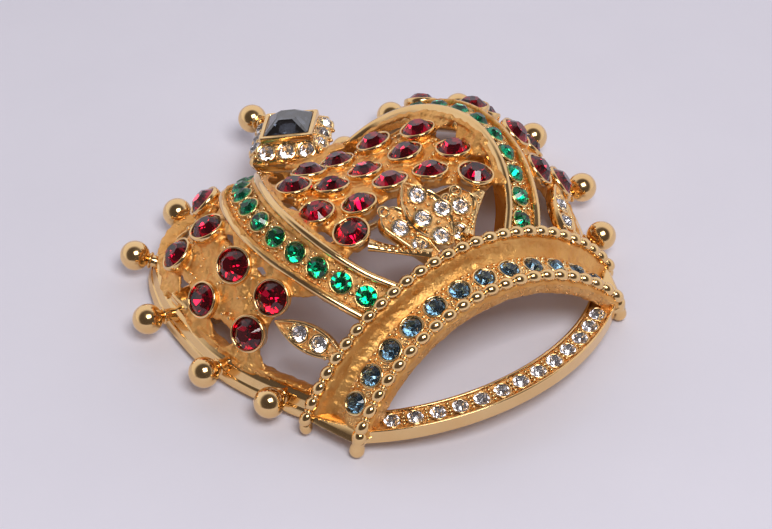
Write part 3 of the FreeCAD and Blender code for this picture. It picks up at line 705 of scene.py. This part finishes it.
def arch():
    """A rounded rail on each side of a sunk channel of stones."""
    half = [(-0.55, -ARCH_DEPTH), (-0.62, -1.4), (-0.60, -0.6)]
    half += [(-0.04 - 0.56 * math.cos(a), -0.56 + 0.56 * math.sin(a))
             for a in np.linspace(0.1, math.pi - 0.1, 9)]
    half += [(0.55, -0.75), (0.66, -CHANNEL_DEPTH)]
    floor_steps = 22
    frames = list(zip(*arch_frames(210)))
    places = stone_places("right_arch_stones")
    sections = []
    for crest, across, outward, width in frames:
        left = half[-1][0]
        floor = [(left + (width - 2 * left) * k / floor_steps, -CHANNEL_DEPTH) for k in range(1, floor_steps)]
        outline = half + floor + [(width - x, h) for x, h in reversed(half)]
        sections.append([crest + across * x + outward * h for x, h in outline])
    size = len(outline)
    textured = range(len(half) - 2, len(half) + floor_steps)
    marks = [STIPPLE if j in textured else SMOOTH for j in range(size)]
    points, faces, found = skin(sections, marks)
    shape = Shape()
    shape.add(sink(points, places), faces, found)
    arch_granules(shape, frames, places)
    both_sides("arch", shape, GOLDS, 46)


def arch_granules(shape, frames, places):
    """Two prong beads in each gap between stones, and small grains along the channel."""
    crest = np.array([f[0] for f in frames])
    across = np.array([f[1] for f in frames])
    outward = np.array([f[2] for f in frames])
    width = np.array([f[3] for f in frames])
    middle = crest + across * (width / 2)[:, None] - outward * (CHANNEL_DEPTH - 0.1)
    near = sorted(int(np.argmin(np.linalg.norm(middle - centre, axis=1))) for centre, _, _ in places)
    gaps = [(a + b) // 2 for a, b in zip(near, near[1:])]
    for k in gaps + [near[0] - (near[1] - near[0]) // 2, near[-1] + (near[1] - near[0]) // 2]:
        for side in (-1, 1):
            for reach, radius in PRONGS:
                granule(shape, middle[k] + across[k] * side * reach, radius)
    for k in near:
        for side in (-1, 1):
            for shift in (-4, 0, 4):
                j = min(max(k + shift, 0), len(middle) - 1)
                granule(shape, middle[j] + across[j] * side * (width[j] / 2 - 0.92), 0.2)
    bezels(shape, places, -0.14, 0.08, 0.12)


# ---- Circlet and beads ----
def band_point(edge, angle):
    """A profile point bent round the hub, leaning back the more the further it goes round."""
    y, z = edge
    radius = z - HUB_Z
    lean = LEAN_AT_TOP + LEAN_GROWTH * (UPPER_EDGE[0] - y)
    rise = radius * math.cos(angle)
    return np.array([radius * math.sin(angle), y - lean * (radius - rise), HUB_Z + rise])


def band_limit(edge, level=BAND_END_Z):
    """The angle at which a profile point comes down to a level."""
    return math.acos((level - HUB_Z) / (edge[1] - HUB_Z))


def end_plates(shape):
    """A thin rounded plate that closes each end of the circlet."""
    outline = rounded([BAND_PROFILE[k] for k in END_CORNERS], 0.6, 5, 0.3)
    middle = outline.mean(0)
    for side in (-1, 1):
        sections = []
        for lift, share in ((0, 0.95), (0.1, 1.02), (END_PLATE + 0.1, 1.02), (END_PLATE + 0.2, 0.95)):
            loop = [middle + (e - middle) * share for e in outline]
            sections.append([band_point(e, side * band_limit(e, BAND_END_Z + lift)) for e in loop])
        shape.add(*skin(sections)[:2])


def band_mark(y, z):
    """Smooth metal at the edges, satin on the wall, stipple on the floor."""
    if y > -14.7:
        return SMOOTH
    if z < 9.9:
        return STIPPLE if y < -20.4 else SMOOTH
    return SATINY if y > -16.5 or y < -20.3 else STIPPLE


def roughened(points, size, marks, places, amount):
    """Ripples on the marked bands of sections that have the given number of points."""
    flat = np.array(points)
    points = flat.reshape(-1, size, 3)
    wave = (ripple(flat, 2.2) + ripple(flat, 0.9, 8)).reshape(-1, size)
    outward = points - np.array([0, 0, HUB_Z])
    outward[:, :, 1] = 0
    outward /= np.linalg.norm(outward, axis=2)[:, :, None]
    marked = np.array(marks, bool)
    shift = np.where(marked & np.roll(marked, 1), amount, 0.0)
    points = points + outward * (wave * shift)[:, :, None]
    return sink(points.reshape(-1, 3), places)


def circlet():
    """The band with its granulated channel, bezels and closed ends."""
    profile = BAND_PROFILE[:2] + [(-15.5, 11.35)] + BAND_PROFILE[2:3] + [(-18.0, 10.62)] + BAND_PROFILE[3:]
    outline = rounded(profile, 0.5, 5, 0.2)
    steps = 230
    places = stone_places("circlet_stones")
    sections = []
    for k in range(steps + 1):
        share = 2.0 * k / steps - 1.0
        sections.append([band_point(e, share * band_limit(e, BAND_END_Z + 0.1)) for e in outline])
    marks = [band_mark(*((a + b) / 2)) for a, b in zip(outline, np.roll(outline, -1, 0))]
    points, faces, found = skin(sections, marks)
    shape = Shape()
    shape.add(roughened(points, len(outline), marks, places, 0.05), faces, found)
    end_plates(shape)
    bezels(shape, places, -0.03, 0.2, 0.2)
    order = sorted(places, key=lambda p: p[0][0])
    for (first, up, radius), (second, _, _) in zip(order, order[1:]):
        middle = (first + second) / 2 - up * 0.05
        across = unit(second - first)
        down = unit(np.cross(across, up))
        low = down if down[1] < 0 else -down
        ring(shape, middle + low * 1.0 + up * 0.1, up, 0.33, 0.15, 16)
        granule(shape, middle + low * 1.0 + up * 0.12, 0.2)
        for side, shift, size in BAND_GRANULES:
            granule(shape, middle + low * shift + across * side, size * random.uniform(0.85, 1.1))
    finish_shape("circlet_gold", shape, GOLDS, ["circlet"], 46)


def beads():
    """Oval beads on thin links, one piece for each row."""
    for name, edge, count, level in BEAD_ROWS:
        limit = band_limit(edge, level)
        angles = [limit * (2.0 * k / (count - 1) - 1.0) for k in range(count)]
        centres = np.array([band_point(edge, a) for a in angles])
        shape = Shape()
        for k, centre in enumerate(centres):
            along = unit(centres[min(k + 1, count - 1)] - centres[max(k - 1, 0)])
            outward = unit(np.cross(along, (0, -1, 0)))
            leaning = along @ turn(BEAD_LEAN, Vector(outward)).T
            granule(shape, centre, BEAD_R, (1, 1, 1.3), axes(leaning), ROUND_BALL)
            if k:
                middle = (centres[k - 1] + centre) / 2
                ring(shape, middle, along, 0.42, 0.2, 16)
                granule(shape, middle, 0.46, (1, 1, 1.3), axes(along))
        if name == "upper_beads":
            for end in (0, -1):
                tail = centres[end] + np.array([0, 0, -1.4])
                granule(shape, tail, BEAD_TAIL_R, (1, 1, 1.4), axes((0, 0, 1)), ROUND_BALL)
        finish_shape(name + "_gold", shape, GOLDS, [name], 60)


# ---- Crescent ----
def crescent_point(angle):
    """The top of the crescent's middle line, which drops towards its ends."""
    x = CRESCENT_R * math.sin(angle)
    return np.array([x, -CRESCENT_R * math.cos(angle), CRESCENT_Z - CRESCENT_DROP * x * x])


def crescent():
    """The strip that closes the base, with a sunk channel of stones."""
    half = CRESCENT_HALF
    side = [(half, -CRESCENT_WALL), (half, 0.18), (half - 0.36, 0.18), (half - 0.42, -0.18)]
    outline = rounded(side + [(-x, h) for x, h in reversed(side)], 0.14, 4, 0.16)
    steps = 200
    places = stone_places("crescent_stones")
    sections = []
    for k in range(steps + 1):
        angle = math.radians(CRESCENT_SPAN) * (2.0 * k / steps - 1.0)
        across = np.array([math.sin(angle), -math.cos(angle), 0])
        sections.append([crescent_point(angle) + across * x + np.array([0, 0, h]) for x, h in outline])
    textured = [abs(a[0] + b[0]) / 2 < half - 0.4 and a[1] > -0.5
                for a, b in zip(outline, np.roll(outline, -1, 0))]
    points, faces, marks = skin(sections, [STIPPLE if t else SMOOTH for t in textured])
    shape = Shape()
    shape.add(sink(points, places), faces, marks)
    crescent_granules(shape, places)
    finish_shape("crescent_gold", shape, GOLDS, ["crescent"], 46)


def crescent_granules(shape, places):
    """A bezel round each stone, and granules in each gap."""
    bezels(shape, places, -0.04, 0.08, 0.12)
    order = sorted(places, key=lambda p: p[0][0])
    for (first, _, _), (second, _, _) in zip(order, order[1:]):
        middle = (first + second) / 2
        out = unit((middle[0], middle[1], 0))
        for shift, size in CRESCENT_GRANULES:
            granule(shape, middle + out * shift, size)


# ---- Openwork ----
def web(shape, start, end, lift, wide=1.15, thick=0.5):
    """A flattened bridge between two points that widens into both of them."""
    along = unit(end - start)
    side = unit(np.cross(lift, along))
    up = unit(np.cross(along, side))
    sections = []
    for t in np.linspace(0, 1, 9):
        swell = 1 + 0.55 * abs(2 * t - 1) ** 2
        sag = -0.25 * math.sin(math.pi * t)
        centre = start + (end - start) * t + up * sag
        turns = [k * math.pi / 8 for k in range(16)]
        sections.append([centre + side * wide * swell * math.cos(a) + up * thick * swell * math.sin(a)
                         for a in turns])
    shape.add(*skin(sections))


def melted(shape):
    """The shape's union, remeshed and smoothed as a casting softens its joints."""
    mesh = bpy.data.meshes.new("work")
    mesh.from_pydata(np.vstack(shape.points).tolist(), [], shape.faces)
    work = bpy.data.objects.new("work", mesh)
    bpy.context.scene.collection.objects.link(work)
    remesh = work.modifiers.new("remesh", "REMESH")
    remesh.mode = "VOXEL"
    remesh.voxel_size = VOXEL
    smooth = work.modifiers.new("smooth", "SMOOTH")
    smooth.factor = 0.5
    smooth.iterations = SMOOTHINGS
    result = work.evaluated_get(bpy.context.evaluated_depsgraph_get()).to_mesh()
    points = np.zeros(len(result.vertices) * 3)
    result.vertices.foreach_get("co", points)
    points = points.reshape(-1, 3)
    normals = np.zeros(len(result.vertices) * 3)
    result.vertices.foreach_get("normal", normals)
    faces = [tuple(p.vertices) for p in result.polygons]
    bpy.data.objects.remove(work)
    return points, normals.reshape(-1, 3), faces


def cup_body(shape, centre, axis):
    """A hollow cup under a stone."""
    outline = [(0, -2.1), (1.3, -2.0), (2.05, -1.5), (2.32, -0.7), (2.34, -0.2), (2.06, -0.2), (2.05, -0.5),
               (1.2, -1.05), (0.3, -1.72), (0, -1.72)]
    shape.add(*lathe(outline, centre, axis, 30))


def cup_lip(shape, centre, axis):
    """The thin bright edge of a cup, a little uneven."""
    outline = [(2.04, -0.8), (2.36, -0.6), (2.40, -0.1), (2.37, 0.16), (2.26, 0.27), (2.12, 0.25),
               (2.05, 0.12), (2.04, -0.8)]
    points, faces = lathe(outline, centre, axis, 44)
    points = points + np.outer(ripple(points, 5.0) * 0.04, axis)
    shape.add(points, faces)


def plate(shape, corners, thick=0.5):
    """A flat sheet between three or four points."""
    corners = np.array(corners)
    up = unit(np.cross(corners[1] - corners[0], corners[2] - corners[0])) * thick / 2
    shape.add(*skin([corners - up, corners + up])[:2])


def strip(shape, line, normals, wide, thick=0.4):
    """A flattened ribbon along a line."""
    ahead = np.gradient(line, axis=0)
    sections = []
    for point, along, normal in zip(line, ahead, normals):
        side = unit(np.cross(normal, along)) * wide
        up = unit(normal) * thick
        turns = [k * math.pi / 6 for k in range(12)]
        sections.append([point + side * math.cos(a) + up * math.sin(a) for a in turns])
    shape.add(*skin(sections)[:2])


def clear_of(corners, holes):
    """Whether the middle of the corners lies outside every hole, given as x, y and radius."""
    x, y = np.mean(corners, axis=0)[:2]
    return all(math.hypot(x - a, y - b) > r for a, b, r in holes)


def sheets(shape, roots, lines, reach, holes, far):
    """Sheets between neighbouring cups, and fans from each cup to the lines beside it."""
    count = len(roots)
    for i in range(count):
        for j in range(i):
            for k in range(j):
                corners = [roots[i], roots[j], roots[k]]
                sides = [np.linalg.norm(corners[a] - corners[b]) for a, b in ((0, 1), (1, 2), (0, 2))]
                if max(sides) < far and clear_of(corners, holes):
                    plate(shape, corners)
    for line in lines:
        near = [[np.linalg.norm(point - root) < reach for point in line] for root in roots]
        for i, root in enumerate(roots):
            for k in range(len(line) - 1):
                corners = [root, line[k], line[k + 1]]
                if near[i][k] and near[i][k + 1] and clear_of(corners, holes):
                    plate(shape, corners, 0.4)


def openwork(places, lines, reach, holes, far, strips):
    """Cups joined by bridges and sheets, and to the lines beside them, softened as one casting."""
    shape = Shape()
    roots = [centre - axis * 0.9 for centre, axis, _ in places]
    for centre, axis, _ in places:
        cup_body(shape, centre, axis)
    for i, (root, (_, up, _)) in enumerate(zip(roots, places)):
        for other, (_, up_other, _) in zip(roots[:i], places):
            if np.linalg.norm(root - other) < far:
                web(shape, root, other, up + up_other, 1.3)
        for line in lines:
            gaps = np.linalg.norm(line - root, axis=1)
            if gaps.min() < reach:
                web(shape, root, line[gaps.argmin()], up, 1.4)
    sheets(shape, roots, lines, reach, holes, far + 0.8)
    for line, normals, wide in strips:
        strip(shape, line, normals, wide)
    points, normals, faces = melted(shape)
    uneven = ripple(points, 1.6) * 0.07 + ripple(points, 0.7, 6) * 0.03
    points = sink(points + normals * uneven[:, None], places)
    cast = Shape()
    cast.add(points, faces, STIPPLE)
    for centre, axis, _ in places:
        cup_lip(cast, centre, axis)
    grains(cast, roots, far)
    return cast


def grains(shape, roots, far):
    """Bright grains cast onto the bridges between cups."""
    draw = np.random.default_rng(5)
    for i, root in enumerate(roots):
        for other in roots[:i]:
            if np.linalg.norm(root - other) < far:
                middle = (root + other) / 2
                for _ in range(4):
                    granule(shape, middle + draw.normal(size=3) * (0.55, 0.55, 0.08) + (0, 0, 0.45),
                            draw.uniform(0.16, 0.3))


def branch(shape, start, end):
    """A thin granulated twig from a cup to the fleuron's root."""
    web(shape, start, end, np.array([0, 0, 1.0]), 0.62, 0.4)
    for t in np.linspace(0.06, 0.94, 9):
        for side in (-1, 1):
            drift = np.array([0.3 * side, -0.3, 0.32 + 0.05 * side]) * random.uniform(0.8, 1.1)
            granule(shape, start + (end - start) * t + drift, random.uniform(0.2, 0.32))


def lobes():
    """The openwork of seven cups between a lobe's rim and its arch."""
    places = stone_places("right_lobe_stones")
    edge = spline([(x, y, 0) for x, y in RIM_PATH], 60)[3:-10] + (-0.4, 0, 0.1)
    inner, across, outward, width = arch_frames(60)
    rail = (inner + across * width[:, None] - outward * 1.0)[6:-6]
    inward = unit((-0.5, 0, 0.85))
    facing = across[6:-6] + outward[6:-6] * 0.4
    strips = [(edge + (-0.9, 0, 0.5), [inward] * len(edge), 1.2), (rail, facing, 1.2)]
    cast = openwork(places, [edge, rail], 6.8, LOBE_HOLES, 8.7, strips)
    both_sides("lobe", cast, [POLISHED, CAST], 60)


def centre_panel():
    """The openwork of fifteen cups between the arches, with a twig on each side of the fleuron."""
    places = stone_places("centre_panel_stones")
    inner, across, outward, _ = arch_frames(60)
    rail = (inner - outward * 1.0)[12:-4]
    flip = (-1, 1, 1)
    top = np.array([(x, 16.2 - 0.02 * x * x, 6.4) for x in np.linspace(-4, 4, 9)])
    facing = -across[12:-4] * 0.35 + outward[12:-4]
    strips = [(rail, facing, 1.1), (rail * flip, facing * flip, 1.1), (top, [(0, 0.5, 0.86)] * 9, 1.6)]
    cast = openwork(places, [rail, rail * flip, top], 6.2, PANEL_HOLES, 7.4, strips)
    for side in (-1, 1):
        branch(cast, np.array([side * 8.2, -8.0, 13.7]), np.array([side * 2.6, -13.3, 13.4]))
    finish_shape("centre_panel_gold", cast, [POLISHED, CAST], ["centre_panel"], 60)


# ---- Orb ----
def orb_axes():
    """The orb's own axes, turned to a corner and tilted back."""
    return (turn(-ORB_TILT, "X") @ turn(ORB_TURN, "Z")).T


def orb():
    """The framed box over a flared skirt."""
    grid = [(-1, -1), (1, -1), (1, 1), (-1, 1)]
    sections = []
    for side, height, radius in ORB_LEVELS:
        h = side / 2
        corners = [(x * h, y * h) for x, y in grid]
        per_side = []
        for (ax, ay), (bx, by) in zip(corners, corners[1:] + corners[:1]):
            length = math.hypot(bx - ax, by - ay)
            for t in np.linspace(radius / length, 1 - radius / length, 19):
                per_side.append((ax + (bx - ax) * t, ay + (by - ay) * t, height))
        sections.append(per_side)
    points, faces, marks = skin(sections)
    places = stone_places("orb_small_stones")
    shape = Shape()
    shape.add(sink(points @ orb_axes() + np.array(ORB_AT), places), faces, marks)
    bezels(shape, places, 0, 0.14, 0.17)
    for quarter in range(4):
        for x, y, z, size in ORB_GRANULES:
            local = np.array([x, y, z]) @ turn(90 * quarter, "Z").T
            granule(shape, local @ orb_axes() + np.array(ORB_AT), size)
    finish_shape("orb_mount_gold", shape, GOLDS, ["orb_mount"], 36)


# ---- Leaves ----
def leaf(shape, frame3, origin, root, heading, length, width, thick, places, blunt=False):
    """A pointed plate with a raised border, drawn in its own plane."""
    along = np.array([math.cos(math.radians(heading)), math.sin(math.radians(heading))])
    side = np.array([-along[1], along[0]])
    rows, columns = 46, 25
    top, under = [], []
    for s in np.linspace(0.0, 1.0, rows):
        if blunt:
            share = (0.5 + 0.6 * s) * math.sqrt(1.02 - max(0.0, (s - 0.72) / 0.28) ** 2)
        else:
            share = 4 * (s + 0.02) * (1.02 - s) / 1.04 / 1.04
        half = max(width / 2 * share, LEAST_HALF)
        for t in np.linspace(-1, 1, columns):
            flat = np.array(root[:2]) + along * length * s + side * half * t
            edge = (1 - abs(t)) * half
            lift = BORDER_LIFT * math.exp(-((edge - BORDER_INSET) / BORDER_WIDTH) ** 4) - 0.1
            top.append((flat[0], flat[1], root[2] + lift))
            under.append((flat[0], flat[1], -thick))
    count = rows * columns
    points = np.array(top + under)
    faces = []
    for i in range(rows - 1):
        for j in range(columns - 1):
            a = i * columns + j
            faces.append((a, a + 1, a + 1 + columns, a + columns))
            faces.append(tuple(k + count for k in (a, a + columns, a + 1 + columns, a + 1)))
    for i in range(rows - 1):
        for j in (0, columns - 1):
            a = i * columns + j
            faces.append((a, a + columns, a + columns + count, a + count))
    for i in (0, rows - 1):
        for j in range(columns - 1):
            a = i * columns + j
            faces.append((a, a + 1, a + 1 + count, a + count))
    world = points @ frame3 + np.array(origin)
    world[:count] = sink(world[:count], places, 0.06)
    inner = [abs(2.0 * (k % columns) / (columns - 1) - 1) < 0.72 for k in range(count)]
    marks = [STIPPLE if max(face) < count and all(inner[k] for k in face) else SMOOTH for face in faces]
    shape.add(world, faces, marks)


def fleuron():
    """Three granulated leaves that stand up from the circlet's middle."""
    frame3 = turn(FLEURON_PITCH, "X").T
    places = stone_places("fleuron_stones")
    shape = Shape()
    for x, y, z, heading, length, width in FLEURON_LEAVES:
        leaf(shape, frame3, FLEURON_AT, (x, y, z), heading, length, width, 1.3, places, z == 0)
    bezels(shape, places, 0.03, 0.13, 0.17)
    lifted = [(x, y, MIDDLE_LIFT) for x, y in MIDDLE_GRANULES] + [(x, y, SIDE_LIFT) for x, y in SIDE_GRANULES]
    for place in lifted:
        granule(shape, np.array(place) @ frame3 + np.array(FLEURON_AT), random.uniform(0.24, 0.36))
    for x, y in FLEURON_RINGS:
        ring(shape, np.array([x, y, 0.0]) @ frame3 + np.array(FLEURON_AT), frame3[2], 0.62, 0.24)
    finish_shape("fleuron_gold", shape, GOLDS, ["fleuron"], 50)


def side_leaf():
    """A leaf with two stones at the foot of each lobe."""
    reach = np.array(LEAF_TIP) - np.array(LEAF_ROOT)
    along = unit(reach)
    side = unit(np.cross(LEAF_OUT, along))
    out = np.cross(along, side)
    frame3 = np.array([along, side, out])
    length = np.linalg.norm(reach)
    places = [p for p in stone_places("leaf_stones") if p[0][0] > 0]
    shape = Shape()
    leaf(shape, frame3, LEAF_ROOT, (0, 0, 0), 0, length, LEAF_WIDTH, 1.2, places)
    bezels(shape, places, 0.03, 0.14, 0.19)
    for x, y in LEAF_GRANULES:
        granule(shape, np.array([x, y, 0.1]) @ frame3 + np.array(LEAF_ROOT), LEAF_GRANULE_R)
    both_sides("leaf", shape, GOLDS, 50)


# ---- Findings, paper, light and camera ----
def findings():
    """The pin, its hinge and its catch keep their CAD shapes and take the plated finish."""
    for node in ("hinge_bracket", "hinge_rivet", "pin_stem", "catch_barrel", "catch_lock"):
        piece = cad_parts[node]
        piece.data.materials.clear()
        piece.data.materials.append(FINDINGS)


def floor():
    """A plain sheet of paper under the brooch."""
    work = bmesh.new()
    bmesh.ops.create_grid(work, x_segments=8, y_segments=8, size=PAPER_HALF)
    mesh = bpy.data.meshes.new("paper")
    work.to_mesh(mesh)
    work.free()
    mesh.materials.append(paper())
    sheet = bpy.data.objects.new("paper", mesh)
    sheet.location.z = -PAPER_DROP
    bpy.context.scene.collection.objects.link(sheet)


def tent():
    """A bright tent all round, dark where the camera and the room behind it are."""
    world = bpy.data.worlds.new("tent")
    bpy.context.scene.world = world
    world.use_nodes = True
    nodes, links = world.node_tree.nodes, world.node_tree.links
    background = nodes["Background"]
    coordinates = nodes.new("ShaderNodeTexCoord")
    facing = nodes.new("ShaderNodeVectorMath")
    facing.operation = "DOT_PRODUCT"
    facing.inputs[1].default_value = tuple(unit(BACK + TENT_LIFT))
    links.new(coordinates.outputs["Generated"], facing.inputs[0])
    colours = ramp(nodes, links, facing.outputs["Value"], TENT_STOPS)
    links.new(colours.outputs["Color"], background.inputs["Color"])
    background.inputs["Strength"].default_value = 1.0


def lamp():
    """One softbox above the front of the crown."""
    light = bpy.data.lights.new("softbox", "AREA")
    light.shape = "RECTANGLE"
    light.size, light.size_y = LAMP_SIZE
    light.energy = LAMP_POWER
    light.color = LAMP_COLOUR
    piece = bpy.data.objects.new("softbox", light)
    direction = Vector(LAMP_DIRECTION).normalized()
    piece.location = direction * LAMP_DISTANCE
    piece.rotation_euler = direction.to_track_quat("Z", "Y").to_euler()
    bpy.context.scene.collection.objects.link(piece)


def camera():
    """The camera, turned by ROLL about its own axis."""
    right = np.array([math.cos(AZIMUTH), math.sin(AZIMUTH), 0])
    up = np.cross(BACK, right)
    across = right * math.cos(ROLL) + up * math.sin(ROLL)
    upright = up * math.cos(ROLL) - right * math.sin(ROLL)
    place = (np.array(TARGET) + BACK * CAMERA_DISTANCE) * MM
    data = bpy.data.cameras.new("camera")
    data.lens = LENS
    data.sensor_width = 36.0
    data.clip_start = 0.01
    piece = bpy.data.objects.new("camera", data)
    rows = [[across[k], upright[k], BACK[k], place[k]] for k in range(3)]
    piece.matrix_world = Matrix(rows + [[0, 0, 0, 1]])
    bpy.context.scene.collection.objects.link(piece)
    bpy.context.scene.camera = piece


def build():
    """Every piece, and the scene round it."""
    findings()
    edge_balls()
    finial()
    rim()
    feet()
    arch()
    circlet()
    beads()
    crescent()
    lobes()
    centre_panel()
    orb()
    fleuron()
    side_leaf()
    for name, nodes, materials, slot in STONE_SETS:
        round_stones(name, nodes, materials)
    square_stone()
    floor()
    tent()
    lamp()
    camera()
    bpy.context.scene.view_settings.view_transform = "Standard"


build()
